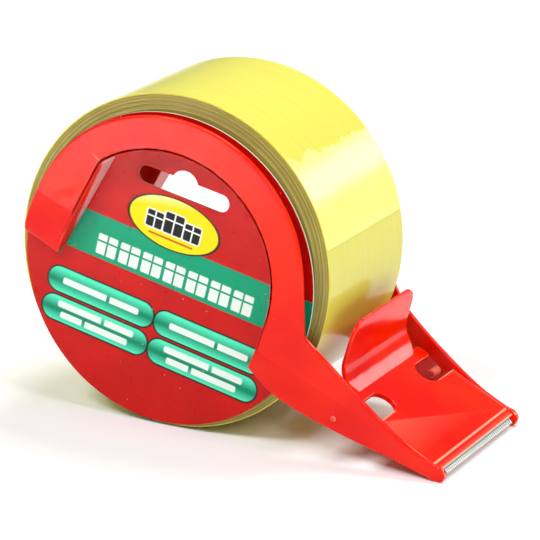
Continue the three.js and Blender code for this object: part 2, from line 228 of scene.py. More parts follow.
def catmull(rows, steps):
    """Rows of control points with smooth rows put in between them."""
    made = []
    for i in range(len(rows) - 1):
        before, start, end, after = (rows[min(max(k, 0), len(rows) - 1)] for k in (i - 1, i, i + 1, i + 2))
        for step in range(steps):
            t = step / steps
            weights = (
                (-t + 2 * t**2 - t**3) / 2,
                (2 - 5 * t**2 + 3 * t**3) / 2,
                (t + 4 * t**2 - 3 * t**3) / 2,
                (t**3 - t**2) / 2,
            )
            made.append([
                sum((point * weight for point, weight in zip(points, weights)), Vector((0, 0, 0)))
                for points in zip(before, start, end, after)
            ])
    made.append(list(rows[-1]))
    return made


# --- solids -----------------------------------------------

def section(points, inward, depth, inset=0.0):
    """A closed outline with rounded corners around a wall whose outer face runs through points."""
    first = (points[0] - points[1]).normalized()
    last = (points[-1] - points[-2]).normalized()
    radius = max(RIM - inset, LEAST_RADIUS)
    start, end = points[0] - first * inset, points[-1] - last * inset
    hold = min(HOLD + radius, LARGEST_HOLD * (end - start).length)
    near, far = inward * (inset + radius), inward * (depth - inset - radius)

    def corner(centre, along, then):
        turns = [math.pi / 2 * k / RIM_STEPS for k in range(RIM_STEPS + 1)]
        return [centre + (along * math.cos(turn) + then * math.sin(turn)) * radius for turn in turns]

    face = [start - first * hold, *points[1:-1], end - last * hold]
    ring = [point + inward * inset for point in face]
    ring += corner(end - last * radius + near, -inward, last)
    ring += corner(end - last * radius + far, last, inward)
    ring += [point + inward * (depth - inset) for point in reversed(face)]
    ring += corner(start - first * radius + far, inward, first)
    ring += corner(start - first * radius + near, first, -inward)
    return ring


def loft(rings, closed=False):
    """A solid skin over successive rings of points."""
    mesh = bmesh.new()
    rows = [[mesh.verts.new(point) for point in ring] for ring in rings]
    pairs = list(zip(rows, rows[1:]))
    if closed:
        pairs.append((rows[-1], rows[0]))
    else:
        mesh.faces.new(rows[0])
        mesh.faces.new(rows[-1])
    for before, after in pairs:
        for i in range(len(before)):
            j = (i + 1) % len(before)
            mesh.faces.new((before[i], before[j], after[j], after[i]))
    bmesh.ops.recalc_face_normals(mesh, faces=mesh.faces)
    return mesh


def wall(rows, inwards, depth):
    """A wall with every edge rounded, from rows of points across its outer face."""
    rings = [section(row, inward, depth) for row, inward in zip(rows, inwards)]

    def rounded_end(row, neighbour, inward):
        middle = len(row) // 2
        out = (row[middle] - neighbour[middle]).normalized()
        made = []
        for k in range(RIM_STEPS + 1):
            turn = math.pi / 2 * k / RIM_STEPS
            moved = [point + out * (RIM * math.sin(turn) - RIM) for point in row]
            made.append(section(moved, inward, depth, RIM * (1 - math.cos(turn))))
        return made

    head = rounded_end(rows[0], rows[1], inwards[0])
    tail = rounded_end(rows[-1], rows[-2], inwards[-1])
    return loft(head[::-1] + rings[1:-1] + tail)


def revolved(profile, segments):
    """A ring about the roll's axis, from a closed profile of (radius, y)."""
    rings = []
    for k in range(segments):
        turn = 2 * math.pi * k / segments
        rings.append([Vector((r * math.cos(turn), y, r * math.sin(turn))) for r, y in profile])
    return loft(rings, closed=True)


def mirrored(mesh):
    copy = mesh.copy()
    bmesh.ops.scale(copy, vec=(1, -1, 1), verts=copy.verts)
    bmesh.ops.reverse_faces(copy, faces=copy.faces)
    return copy


SHARP_ANGLE = math.radians(35)
SIDEWAYS = 0.5  # a face is on the side if its normal has more than this share along the axis


def piece(name, meshes, materials, body, slot, *stands_for):
    """One visible piece of the object, made from closed bmesh solids in the design frame."""
    whole = bpy.data.meshes.new(name)
    gathered = bmesh.new()
    for mesh in meshes:
        part = bpy.data.meshes.new("part")
        mesh.to_mesh(part)
        mesh.free()
        gathered.from_mesh(part)
        bpy.data.meshes.remove(part)
    gathered.transform(DESIGN_TO_ROW)
    gathered.to_mesh(whole)
    gathered.free()
    whole.shade_smooth()
    whole.set_sharp_from_angle(angle=SHARP_ANGLE)
    for material in materials:
        whole.materials.append(material)
    made = bpy.data.objects.new(name, whole)
    bpy.context.scene.collection.objects.link(made)
    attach(made, body)
    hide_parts(*stands_for)
    return made


# --- frame moulding ---------------------------------------

def side_point(point, reach):
    return Vector((point[0], reach, point[1]))


def tail_rows():
    """The flat tail beyond the crease, from its end to the crease, leaning in towards the roll."""
    steps = 10
    outer = bend(TAIL["heel"], TAIL["shoulder"], TAIL["crease_outer"])
    inner = line(TAIL["point"], TAIL["crease_inner"])
    rows = []
    for share in [k / steps for k in range(steps)] + [1 - CREASE_HOLD]:
        reach = ARM["reach"] - TAIL["lean"] * (1 - share)
        rows.append([side_point(outer(share), reach), side_point(inner(share), reach)])
    return rows


def inner_corner():
    """The inner edge's corner at the chord's top: its start on the chord, and its end's angle."""
    chord_top = TAIL["chord_top"]
    start = along_line(chord_top, TAIL["crease_inner"], TAIL["corner_run"], 0)
    return start, angle_of(HUB, chord_top) - TAIL["corner_degrees"]


def band_segments():
    """The band's stretches, from the crease to the side wall: outer edge, inner edge and steps."""
    blend_start, blend_angle = inner_corner()
    chord_top = TAIL["chord_top"]
    centre, outer, inner = ARM["outer_centre"], ARM["outer"], ARM["inner"]
    outer_start = angle_of(centre, TAIL["crease_outer"])
    outer_blend = outer_start - TAIL["outer_share"] * (outer_start - angle_of(HUB, chord_top))
    wall_top, _, wall_low = WALL_ROWS[0]
    drop, drop_end = ARM_DROP["from"], ARM_DROP["to"]
    leaves, inner_from, inner_to = (ARM_DROP[key] for key in ("leaves_arc", "inner_from", "inner_to"))
    return [
        (arc(centre, outer, outer_start, outer_blend), line(TAIL["crease_inner"], blend_start), 10),
        (
            arc(centre, outer, outer_blend, blend_angle),
            bend(blend_start, chord_top, polar(HUB, inner, blend_angle)),
            12,
        ),
        (arc(centre, outer, blend_angle, leaves), arc(HUB, inner, blend_angle, leaves), 56),
        (
            bend(polar(centre, outer, leaves), ARM_DROP["corner"], drop),
            arc(HUB, inner, leaves, inner_from),
            20,
        ),
        (line(drop, drop_end), arc(HUB, inner, inner_from, inner_to), 12),
        (line(drop_end, wall_top[:2]), line(polar(HUB, inner, inner_to), wall_low[:2]), 5),
    ]


def band_rows():
    """The C-shaped band over the top of the hub, from the crease to the side wall."""
    rows = []
    for outer_curve, inner_curve, steps in band_segments():
        for k in range(steps):
            ends = outer_curve(k / steps), inner_curve(k / steps)
            rows.append([side_point(point, ARM["reach"]) for point in ends])
    beside_crease = [start.lerp(end, 0.1) for start, end in zip(rows[0], rows[1])]
    rows.insert(1, beside_crease)
    return rows


def filled(row):
    """A flat row from its two ends, with the same points as a row of the creased side wall."""
    upper, lower = row
    return [upper, upper.lerp(lower, WALL_CREASE), lower]


def crossed(row):
    """A row of three control points with more points between them, which keep the crease narrow."""
    upper, crease, lower = row
    return [
        upper,
        upper.lerp(crease, 0.5),
        upper.lerp(crease, BESIDE_CREASE["above"]),
        crease,
        crease.lerp(lower, BESIDE_CREASE["below"]),
        crease.lerp(lower, 0.5),
        lower,
    ]


def side_wall_rows():
    rows = [[Vector((x, reach, z)) for x, z, reach in row] for row in WALL_ROWS]
    start = [[a.lerp(b, k / 4) for a, b in zip(rows[0], rows[1])] for k in range(4)]
    return start + catmull(rows[1:], 7)


def arm_and_side_wall():
    rows = [filled(row) for row in tail_rows() + band_rows()] + side_wall_rows()
    rows = [crossed(row) for row in rows]
    inward = Vector((0, -1, 0))
    return wall(rows, [inward] * len(rows), WALL)


def rib_path():
    """Side-view points along the arm's inner edge for the hub rib: on the band, and on the tail."""
    blend_start, blend_angle = inner_corner()
    foot = along_line(TAIL["point"], TAIL["crease_inner"], RIB["foot_setback"], 0)
    arc_part = arc_points(HUB, ARM["inner"], RIB["start_angle"], blend_angle, 48)
    curve = bend(polar(HUB, ARM["inner"], blend_angle), TAIL["chord_top"], blend_start)
    blend_part = [curve(k / 10) for k in range(1, 11)]
    chord_part = [between(blend_start, TAIL["crease_inner"], k / 6) for k in range(1, 7)]
    tail_part = [between(TAIL["crease_inner"], foot, k / 8) for k in range(1, 9)]
    return arc_part + blend_part + chord_part, tail_part


def hub_rib():
    """The rib along the arm's inner edge, which goes through the card and into the core."""
    flat_part, tail_part = rib_path()
    path = flat_part + tail_part
    rows, inwards = [], []
    for i, point in enumerate(path):
        before, after = path[max(i - 1, 0)], path[min(i + 1, len(path) - 1)]
        outward = Vector((after[1] - before[1], 0, before[0] - after[0])).normalized()
        leaned = max(0, i - len(flat_part) + 1) / len(tail_part)
        top = ARM["reach"] - RIB["sunk"] - TAIL["lean"] * leaned
        rows.append([
            side_point(point, top),
            side_point(point, (top + RIB["end_reach"]) / 2),
            side_point(point, RIB["end_reach"]),
        ])
        inwards.append(outward)
    return wall(rows, inwards, RIB["thickness"])


def slope_frame():
    """The platform's front crease, the unit vector up its slope, and its upward normal."""
    (front_x, front_z), (rear_x, rear_z) = PLATFORM["front"], PLATFORM["rear"]
    up_slope = Vector((rear_x - front_x, 0, rear_z - front_z))
    up_slope.normalize()
    return Vector((front_x, 0, front_z)), up_slope, Vector((up_slope.z, 0, -up_slope.x))


def platform_outline():
    """The platform seen square on: (distance up the slope, y), with a relief on each side."""
    half, bar_half, bar_end = PLATFORM["half_width"], RELIEF["bar_half_width"], RELIEF["bar_end"]
    radius = (RELIEF["to"] - RELIEF["from"]) / 2
    rear = RELIEF["to"] + RELIEF["bar_depth"]
    relief_end = (RELIEF["from"] + radius, RELIEF["neck"] + radius)
    side = [(0, half), (RELIEF["from"], half)]
    side += arc_points(relief_end, radius, 180, 360, 20)
    side += arc_points((RELIEF["to"] + bar_end, bar_half - bar_end), bar_end, 180, 90, 5)
    side += arc_points((rear - bar_end, bar_half - bar_end), bar_end, 90, 0, 5)
    return [(u, -y) for u, y in side] + [(u, y) for u, y in reversed(side)]


def bevelled(mesh, edges, width):
    shape = {"offset": width, "segments": BEVEL["steps"], "profile": 0.5, "clamp_overlap": True}
    bmesh.ops.bevel(mesh, geom=list(edges), affect="EDGES", **shape)


def drawn_out(mesh, faces, step, **options):
    """Extrude faces by a step."""
    extruded = bmesh.ops.extrude_face_region(mesh, geom=faces, **options)
    moved = [item for item in extruded["geom"] if isinstance(item, bmesh.types.BMVert)]
    bmesh.ops.translate(mesh, vec=step, verts=moved)


def platform():
    """The sloping plate and, below its front crease, the lip that the blade is set in."""
    front, up_slope, normal = slope_frame()
    mesh = bmesh.new()
    across = Vector((0, 1, 0))
    top = [mesh.verts.new(front + up_slope * u + across * y) for u, y in platform_outline()]
    drawn_out(mesh, [mesh.faces.new(top)], -normal * WALL)
    # The face between the platform and the lip goes, so that the two are one solid.
    nose = min(mesh.faces, key=lambda side: (side.calc_center_median() - front).length)
    drawn_out(mesh, [nose], Vector((LIP["run"], 0, -LIP["drop"])))
    mesh.faces.remove(nose)
    bmesh.ops.recalc_face_normals(mesh, faces=mesh.faces)
    crease = [edge for edge in mesh.edges if all((vert.co - front).xz.length < 1e-4 for vert in edge.verts)]
    rims = [
        edge for edge in mesh.edges
        if edge not in crease and len(edge.link_faces) == 2 and edge.calc_face_angle(0) > RIM_ANGLE
    ]
    bevelled(mesh, crease, BEVEL["crease"])
    bevelled(mesh, [edge for edge in rims if edge.is_valid], BEVEL["rim"])
    broad = [face for face in mesh.faces if face.calc_area() > BROAD_FACE]
    bmesh.ops.inset_individual(mesh, faces=broad, thickness=HOLD)
    return mesh


def tube(path, radii, sides):
    """A solid rod along a path, with a radius at each of its points."""
    rings = []
    for i, point in enumerate(path):
        ahead = (path[min(i + 1, len(path) - 1)] - path[max(i - 1, 0)]).normalized()
        level = ahead.cross(Vector((0, 0, 1)))
        level = level.normalized() if level.length > 1e-3 else Vector((1, 0, 0))
        other = ahead.cross(level)
        turns = [2 * math.pi * k / sides for k in range(sides)]
        rings.append([point + (level * math.cos(t) + other * math.sin(t)) * radii[i] for t in turns])
    return loft(rings)


def tab_half_width(z):
    """Half the tab's width at a height: round shoulders, a wide waist and a narrow heel."""
    top, foot, heel = TAB_PROFILE[-1][1], TAB_PROFILE[0][1], TAB_HEEL["top"]
    shoulder = TAB["shoulder_half_width"] - TAB["top_half_width"]
    below = top - z
    if below < shoulder:
        return TAB["top_half_width"] + math.sqrt(shoulder**2 - (shoulder - below) ** 2)
    share = min((below - shoulder) / (top - heel - shoulder), 1)
    waist = TAB["shoulder_half_width"] + (TAB["waist_half_width"] - TAB["shoulder_half_width"]) * share**2
    narrowed = max(heel - z, 0) / (heel - foot)
    return waist + (TAB_HEEL["half_width"] - waist) * narrowed**1.5


def tab():
    """The curved tab that the tape's free end is pressed against."""
    points = [[Vector((x, 0, z))] for x, z in TAB_PROFILE]
    profile = [row[0] for row in catmull(points, 4)]
    rows, inwards = [], []
    columns = 8
    for i, point in enumerate(profile):
        ahead = profile[min(i + 1, len(profile) - 1)] - profile[max(i - 1, 0)]
        half = tab_half_width(point.z)
        spread = [half * (2 * k / columns - 1) for k in range(columns + 1)]
        rows.append([point + Vector((0, y, 0)) for y in spread])
        inwards.append(Vector((-ahead.z, 0, ahead.x)).normalized())
    return wall(rows, inwards, TAB["thickness"])


def peg():
    """The short stop peg on the inside of a side wall."""
    x, z = PEG["centre"]
    tip, root, radius = PEG["tip_reach"], PEG["root_reach"], PEG["radius"]
    path = [Vector((x, tip + run, z)) for run, _ in PEG_TIP] + [Vector((x, root, z))]
    radii = [radius * share for _, share in PEG_TIP] + [radius * PEG["root_share"]]
    return tube(path, radii, 24)


def gate_scar():
    """The low stub left where the moulding was cut from its runner, on the right-hand wall."""
    x, z = GATE["centre"]
    reach, radius = GATE["reach"], GATE["radius"]
    path = [Vector((x, -reach + run, z)) for run, _ in GATE_TIP]
    return tube(path, [radius * share for _, share in GATE_TIP], 20)


def moulding():
    right = [arm_and_side_wall(), hub_rib(), peg()]
    meshes = right + [mirrored(mesh) for mesh in right]
    meshes += [platform(), tab(), gate_scar()]
    nodes = ["blade_platform", "tape_tab"]
    nodes += [f"{side}_{part}" for side in ("right", "left") for part in ("arm", "hub_rib", "side_wall")]
    return piece("frame_moulding", meshes, [moulded_plastic()], "frame", "moulding", *nodes)


# --- blade ------------------------------------------------

def steel_blade():
    """A thin steel strip set into the lip, with a groove ground between each two of its teeth."""
    lip = Vector((LIP["run"], 0, -LIP["drop"]))
    ahead = lip.normalized()
    upward = Vector((-ahead.z, 0, ahead.x))
    crease = Vector((PLATFORM["front"][0], 0, PLATFORM["front"][1]))
    tip = lip.length + BLADE["exposed"]
    valley = tip - BLADE["depth"]
    back = lip.length - BLADE["seated"]
    ground = lip.length + BLADE["bare"]
    half, teeth = BLADE["half_length"], BLADE["teeth"]
    pitch = 2 * half / teeth
    top, bottom = -BLADE["sunk"], -BLADE["sunk"] - BLADE["thickness"]
    mesh = bmesh.new()

    def corners(along, spots, height):
        places = [crease + ahead * along + Vector((0, y, 0)) + upward * height for y in spots]
        return [mesh.verts.new(place) for place in places]

    lines = [-half + k * pitch for k in range(teeth + 1)]
    middles = [y + pitch / 2 for y in lines[:-1]]
    back_top = corners(back, lines, top)
    back_low = corners(back, lines, bottom)
    groove_start = corners(ground, lines, top)
    ridge_start = corners(ground, middles, top)
    valley_top = corners(valley, lines, top - BLADE["groove"])
    valley_low = corners(valley, lines, bottom)
    tip_top = corners(tip, middles, top - BLADE["tip_drop"])
    tip_low = corners(tip, middles, bottom)
    for k in range(teeth):
        for face in (
            (back_top[k], back_top[k + 1], groove_start[k + 1], ridge_start[k], groove_start[k]),
            (groove_start[k], ridge_start[k], valley_top[k]),
            (ridge_start[k], tip_top[k], valley_top[k]),
            (groove_start[k + 1], valley_top[k + 1], ridge_start[k]),
            (ridge_start[k], valley_top[k + 1], tip_top[k]),
            (valley_top[k], tip_top[k], tip_low[k], valley_low[k]),
            (tip_top[k], valley_top[k + 1], valley_low[k + 1], tip_low[k]),
            (back_low[k], back_low[k + 1], valley_low[k + 1], tip_low[k], valley_low[k]),
            (back_top[k], back_top[k + 1], back_low[k + 1], back_low[k]),
        ):
            mesh.faces.new(face)
    for k in (0, teeth):
        mesh.faces.new((back_top[k], groove_start[k], valley_top[k], valley_low[k], back_low[k]))
    bmesh.ops.recalc_face_normals(mesh, faces=mesh.faces)
    return piece("steel_blade", [mesh], [ground_steel()], "frame", "blade", "serrated_blade")


# --- card -------------------------------------------------

def hang_hole_outline():
    """The euro hang hole: a slot with a round bump in the middle of its upper edge."""
    centre, tilt, lift = HANG_HOLE["centre"], HANG_HOLE["tilt"], HANG_HOLE["lift"]
    radius = HANG_HOLE["height"] / 2
    reach = HANG_HOLE["length"] / 2 - radius
    rise = math.degrees(math.asin((radius - lift) / HANG_HOLE["bump"]))

    def turned(x, y):
        return polar(centre, math.hypot(x, y), math.degrees(math.atan2(y, x)) + tilt)

    outline = arc_points(turned(reach, 0), radius, tilt - 90, tilt + 90, 16)
    outline += arc_points(turned(0, lift), HANG_HOLE["bump"], tilt + rise, tilt + 180 - rise, 24)
    outline += arc_points(turned(-reach, 0), radius, tilt + 90, tilt + 270, 16)
    return outline


def rib_slot_outline():
    """A curved slot around the hub rib's arc that opens into a straight window at its chord."""
    slack, inner, window = RIB_SLOT["slack"], RIB_SLOT["inner"], RIB_SLOT["window"]
    start = RIB["start_angle"] - RIB_SLOT["start"]
    crest = angle_of(HUB, TAIL["chord_top"]) + RIB_SLOT["crest"]
    behind = RIB["thickness"] + slack
    point, crease, chord_top = TAIL["point"], TAIL["crease_inner"], TAIL["chord_top"]
    window_top = along_line(chord_top, crease, -RIB_SLOT["ends"], window)
    window_foot = along_line(point, crease, -RIB_SLOT["ends"], -inner)
    inner_radius = ARM["inner"] - inner
    outline = [window_foot]
    outline += arc_points(HUB, inner_radius, angle_of(HUB, window_top), start, 64)
    outline += arc_points(HUB, ARM["inner"] + behind, start, crest, 64)
    outline += [along_line(crease, chord_top, 0, behind), along_line(point, crease, -slack, behind)]
    return outline


def printed_card():
    """The round header card, with its print on the outer face."""
    reach, thickness = CARD["reach"], CARD["thickness"]
    mesh = bmesh.new()
    edges = []
    circle = arc_points(CARD["centre"], CARD["radius"], 0, 360, 240)[:-1]
    for outline in (circle, hang_hole_outline(), rib_slot_outline()):
        loop = [mesh.verts.new(side_point(point, -reach)) for point in outline]
        edges += [mesh.edges.new((a, b)) for a, b in zip(loop, loop[1:] + loop[:1])]
    bmesh.ops.triangle_fill(mesh, edges=edges, use_beauty=True, use_dissolve=False)
    drawn_out(mesh, list(mesh.faces), Vector((0, thickness, 0)), use_keep_orig=True)
    bmesh.ops.recalc_face_normals(mesh, faces=mesh.faces)
    for face in mesh.faces:
        level = abs(face.normal.y) > SIDEWAYS
        outside = level and face.calc_center_median().y < -reach + thickness / 2
        face.material_index = 0 if outside else 1
    materials = [card_print(), card_stock()]
    return piece("printed_card", [mesh], materials, "frame", "card", "header_card")


# --- roll -------------------------------------------------

def core_tube():
    """The paper tube that the tape is wound on."""
    half = ROLL_HALF_WIDTH - CORE_RECESS
    edge = 0.25  # rounding of its ends
    profile = [(CORE_BORE, y) for y in (-half + edge, 0, half - edge)]
    profile += [(CORE_BORE + edge, half), (CORE_RADIUS - edge, half)]
    profile += [(CORE_RADIUS, y) for y in (half - edge, 0, -half + edge)]
    profile += [(CORE_RADIUS - edge, -half), (CORE_BORE + edge, -half)]
    mesh = revolved(profile, 160)
    return piece("core_tube", [mesh], [kraft_paper()], "roll", "core", "paper_core")


TAPE_END_ANGLE = 11.0  # where the tape's cut end lies on the roll, above +X
TAPE_STEP = 0.12  # height of the step at the cut end
TAPE_RINGS = 44
TAPE_UNEVEN = 0.14  # how far a layer's edge may lie inside the roll's side
TAPE_SEED = 7


def tape_profile(outer_radius, offsets):
    """The roll's section: side faces with the small steps of the wound layers' edges."""
    half = ROLL_HALF_WIDTH
    radii = [TAPE_INNER + (outer_radius - TAPE_INNER) * k / TAPE_RINGS for k in range(TAPE_RINGS + 1)]
    left = [(radius, half - offset) for radius, offset in zip(radii, offsets)]
    right = [(radius, -half + offset) for radius, offset in zip(radii, reversed(offsets))]
    return left + right[::-1]


def wound_tape():
    """The wound tape, whose outermost layer ends in a cut edge across the roll."""
    draw = random.Random(TAPE_SEED)
    offsets = [draw.uniform(0.0, TAPE_UNEVEN) for _ in range(TAPE_RINGS + 1)]
    segments = 240
    rings = []
    for k in range(segments + 1):
        share = k / segments
        turn = math.radians(TAPE_END_ANGLE + 360 * share)
        profile = tape_profile(ROLL_RADIUS - TAPE_STEP * share, offsets)
        rings.append([Vector((r * math.cos(turn), y, r * math.sin(turn))) for r, y in profile])
    mesh = loft(rings, closed=True)
    for face in mesh.faces:
        face.material_index = 1 if abs(face.normal.y) > SIDEWAYS else 0
    return piece("wound_tape", [mesh], [tape_film(), tape_edge()], "roll", "tape", "tape_roll")


# --- materials --------------------------------------------

class Field:
    """A number that a material's nodes work out, written as plain arithmetic."""

    def __init__(self, tree, socket):
        self.tree, self.socket = tree, socket

    def apply(self, operation, *others, clamp=False):
        node = self.tree.nodes.new("ShaderNodeMath")
        node.operation = operation
        node.use_clamp = clamp
        for slot, value in zip(node.inputs, (self, *others)):
            feed(self.tree, slot, value)
        return Field(self.tree, node.outputs[0])

    def __add__(self, other):
        return self.apply("ADD", other)

    def __sub__(self, other):
        return self.apply("SUBTRACT", other)

    def __mul__(self, other):
        return self.apply("MULTIPLY", other)

    def __truediv__(self, other):
        return self.apply("DIVIDE", other)

    def __neg__(self):
        return self.apply("MULTIPLY", -1.0)

    def __abs__(self):
        return self.apply("ABSOLUTE")

    def larger(self, other):
        return self.apply("MAXIMUM", other)

    def ramp(self, low, high):
        """0 below low and 1 above high, straight in between. It also works with low above high."""
        return self.apply("MULTIPLY_ADD", 1 / (high - low), -low / (high - low), clamp=True)

    def repeated(self, period):
        """The distance from the middle of the nearest of the cells of this length."""
        return self.apply("WRAP", period / 2, -period / 2)


def feed(tree, slot, value):
    if isinstance(value, Field):
        tree.links.new(value.socket, slot)
    elif isinstance(value, bpy.types.NodeSocket):
        tree.links.new(value, slot)
    else:
        slot.default_value = value


def feed_all(tree, node, inputs):
    """Feed a node's inputs, given by name."""
    for name, value in inputs.items():
        feed(tree, node.inputs[name], value)


def length_of(a, b):
    return (a * a + b * b).apply("SQRT")


def colour(red, green, blue):
    """An sRGB colour from 0 to 255 in the linear values that the shaders use."""
    def linear(value):
        share = value / 255
        return share / 12.92 if share <= 0.04045 else ((share + 0.055) / 1.055) ** 2.4
    return (linear(red), linear(green), linear(blue), 1.0)


def new_material(name):
    material = bpy.data.materials.new(name)
    material.use_nodes = True
    tree = material.node_tree
    return material, tree, tree.nodes["Principled BSDF"]


def design_position(tree):
    """The surface point in the design frame, in millimetres: its vector, and x, y and z."""
    coordinates = tree.nodes.new("ShaderNodeTexCoord")
    mapping = tree.nodes.new("ShaderNodeMapping")
    turn = Matrix.Rotation(PITCH, 4, "Y")
    feed_all(tree, mapping, {
        "Vector": coordinates.outputs["Object"],
        "Scale": (1 / MM,) * 3,
        "Rotation": (0, PITCH, 0),
        "Location": -(turn @ (roll_centre() / MM)),
    })
    split = tree.nodes.new("ShaderNodeSeparateXYZ")
    tree.links.new(mapping.outputs[0], split.inputs[0])
    return mapping.outputs[0], *(Field(tree, split.outputs[axis]) for axis in "XYZ")


def vector(tree, *parts):
    node = tree.nodes.new("ShaderNodeCombineXYZ")
    for slot, part in zip(node.inputs, parts):
        feed(tree, slot, part)
    return node.outputs[0]


def noise(tree, place, scale, detail=2.0, roughness=0.5):
    node = tree.nodes.new("ShaderNodeTexNoise")
    feed_all(tree, node, {"Vector": place, "Scale": scale, "Detail": detail, "Roughness": roughness})
    return Field(tree, node.outputs["Fac"])


def dots(tree, place, scale, radius):
    """1 on small round dots strewn over a surface, at most one in each cell of 1/scale mm."""
    node = tree.nodes.new("ShaderNodeTexVoronoi")
    feed_all(tree, node, {"Vector": place, "Scale": scale})
    return Field(tree, node.outputs["Distance"]).ramp(radius * scale, 0.6 * radius * scale)


def painted(tree, below, mask, above):
    """The colour below, with the colour above laid over it where the mask is 1."""
    node = tree.nodes.new("ShaderNodeMix")
    node.data_type = "RGBA"
    slots = [slot for slot in node.inputs if slot.type == "RGBA"]
    feed(tree, node.inputs[0], mask)
    feed(tree, slots[0], below)
    feed(tree, slots[1], above)
    return next(slot for slot in node.outputs if slot.type == "RGBA")


def bumped(tree, shader, height, distance):
    """Relief on the surface, where a step of 1 in the height stands this many millimetres proud."""
    node = tree.nodes.new("ShaderNodeBump")
    feed_all(tree, node, {"Distance": distance * MM, "Height": height})
    tree.links.new(node.outputs[0], shader.inputs["Normal"])


SINK_MARK = (-29.7, 16.5)  # middle of the shallow hollow in each arm, in the side view


def moulded_plastic():
    """Glossy red injection moulding: flow marks, painted highlights along the rims, sink marks, scratches,
    dust and rubbing.
    """
    material, tree, shader = new_material("moulded_plastic")
    place, x, y, z = design_position(tree)
    flow = noise(tree, place, 0.035, 3.0)
    skin = noise(tree, place, 1.4, 2.0)
    rubbing = noise(tree, vector(tree, x * 0.3, y * 2.5, z * 0.3), 1.2, 4.0, 0.7)
    dust = dots(tree, place, 0.22, 0.13)
    # painted highlight: a pale pink line laid along the rounded rims, where the mesh is most pointed
    rim = tree.nodes.new("ShaderNodeNewGeometry").outputs["Pointiness"]
    rim = Field(tree, rim).ramp(0.53, 0.57)
    scratch = noise(tree, vector(tree, x * 0.16 + y * 0.1, y * 1.8 - x * 0.5, z * 1.2), 1.0, 3.0, 0.6)
    scratched = scratch.ramp(0.7, 0.76)
    deep, bright = colour(232, 10, 0), colour(248, 36, 0)
    red = painted(tree, deep, flow.ramp(0.35, 0.65), bright)
    red = painted(tree, red, rim * 0.7, colour(255, 176, 146))
    red = painted(tree, red, dust * 0.5, colour(255, 170, 150))
    sink = length_of(x - SINK_MARK[0], z - SINK_MARK[1]).ramp(2.6, 0.2)
    waves = noise(tree, place, 0.11, 1.0)
    bumped(tree, shader, skin * 0.004 + waves * 0.14 - sink * 0.13 - scratched * 0.01, 1.0)
    feed_all(tree, shader, {
        "Base Color": red,
        "Roughness": rubbing.ramp(0.35, 0.85) * 0.1 + scratched * 0.15 + 0.12,
        "IOR": 1.52,
        "Specular IOR Level": 0.22,
    })
    return material


def along_blade(x, z):
    """How far a point of the blade is past the lip's front edge."""
    (front_x, front_z), length = PLATFORM["front"], math.hypot(LIP["run"], LIP["drop"])
    return (x - front_x) * (LIP["run"] / length) - (z - front_z) * (LIP["drop"] / length) - length


def ground_steel():
    """Steel strip with a painted cyan reflection along its back, painted shade in the ground grooves, and
    fine lines from grinding.
    """
    material, tree, shader = new_material("ground_steel")
    place, x, y, z = design_position(tree)
    lines = noise(tree, vector(tree, x * 0.4, y * 9.0, z * 0.4), 1.0, 3.0, 0.6)
    tint = noise(tree, place, 0.35, 2.0)
    cool, warm = colour(232, 240, 232), colour(248, 250, 240)
    steel = painted(tree, cool, tint.ramp(0.35, 0.65), warm)
    # painted reflection: a cyan band along the blade's back edge, next to the lip
    cyan_reflection = along_blade(x, z).ramp(*BLADE["cyan_reflection"])
    pitch = 2 * BLADE["half_length"] / BLADE["teeth"]
    # painted shade: the ground grooves between the teeth are coloured near black
    groove = abs(y.repeated(pitch)).ramp(0.36 * pitch, 0.24 * pitch)
    steel = painted(tree, steel, groove, colour(12, 16, 8))
    steel = painted(tree, steel, cyan_reflection, colour(60, 160, 176))
    bumped(tree, shader, lines, 0.01)
    feed_all(tree, shader, {"Base Color": steel, "Roughness": lines * 0.2 + 0.25, "Metallic": 0.4})
    return material


def kraft_paper():
    """Brown wound paper: fibres, and the slanting seams of the wound strip."""
    material, tree, shader = new_material("kraft_paper")
    _, x, y, z = design_position(tree)
    turn = z.apply("ARCTAN2", x)
    fibre = noise(tree, vector(tree, x, y * 0.5, z), 1.1, 5.0, 0.65)
    seam = abs((turn * 12.0 + y * 0.8).repeated(30.0)).ramp(0.5, 0.15)
    pale, dark = colour(196, 168, 128), colour(158, 128, 90)
    paper = painted(tree, dark, fibre.ramp(0.25, 0.75), pale)
    paper = painted(tree, paper, seam * 0.6, colour(110, 84, 56))
    bumped(tree, shader, fibre - seam, 0.05)
    feed_all(tree, shader, {"Base Color": paper, "Roughness": 0.85})
    return material


SHADED_EDGE_RADIUS = 42.0  # the cut edges nearer to the roll's axis than this are painted dark red as shade


def card_stock():
    """The card's plain pale grey back, and its cut edges near the roll's axis, painted dark red as shade.
    """
    material, tree, shader = new_material("card_stock")
    place, x, y, z = design_position(tree)
    fibre = noise(tree, place, 2.2, 5.0, 0.6)
    pale, grey = colour(236, 238, 226), colour(206, 206, 192)
    paper = painted(tree, grey, fibre.ramp(0.3, 0.7), pale)
    near_axis = (-length_of(x, z) + SHADED_EDGE_RADIUS).ramp(0.0, 0.5)
    edge_shade = near_axis * (-(y + CARD["reach"])).ramp(-0.5, -0.2)
    # painted shade: the cut edges of the hang hole and the rib slot are coloured dark red
    paper = painted(tree, paper, edge_shade, colour(96, 12, 10))
    bumped(tree, shader, fibre, 0.02)
    feed_all(tree, shader, {"Base Color": paper, "Roughness": 0.75, "Specular IOR Level": 0.2})
    return material


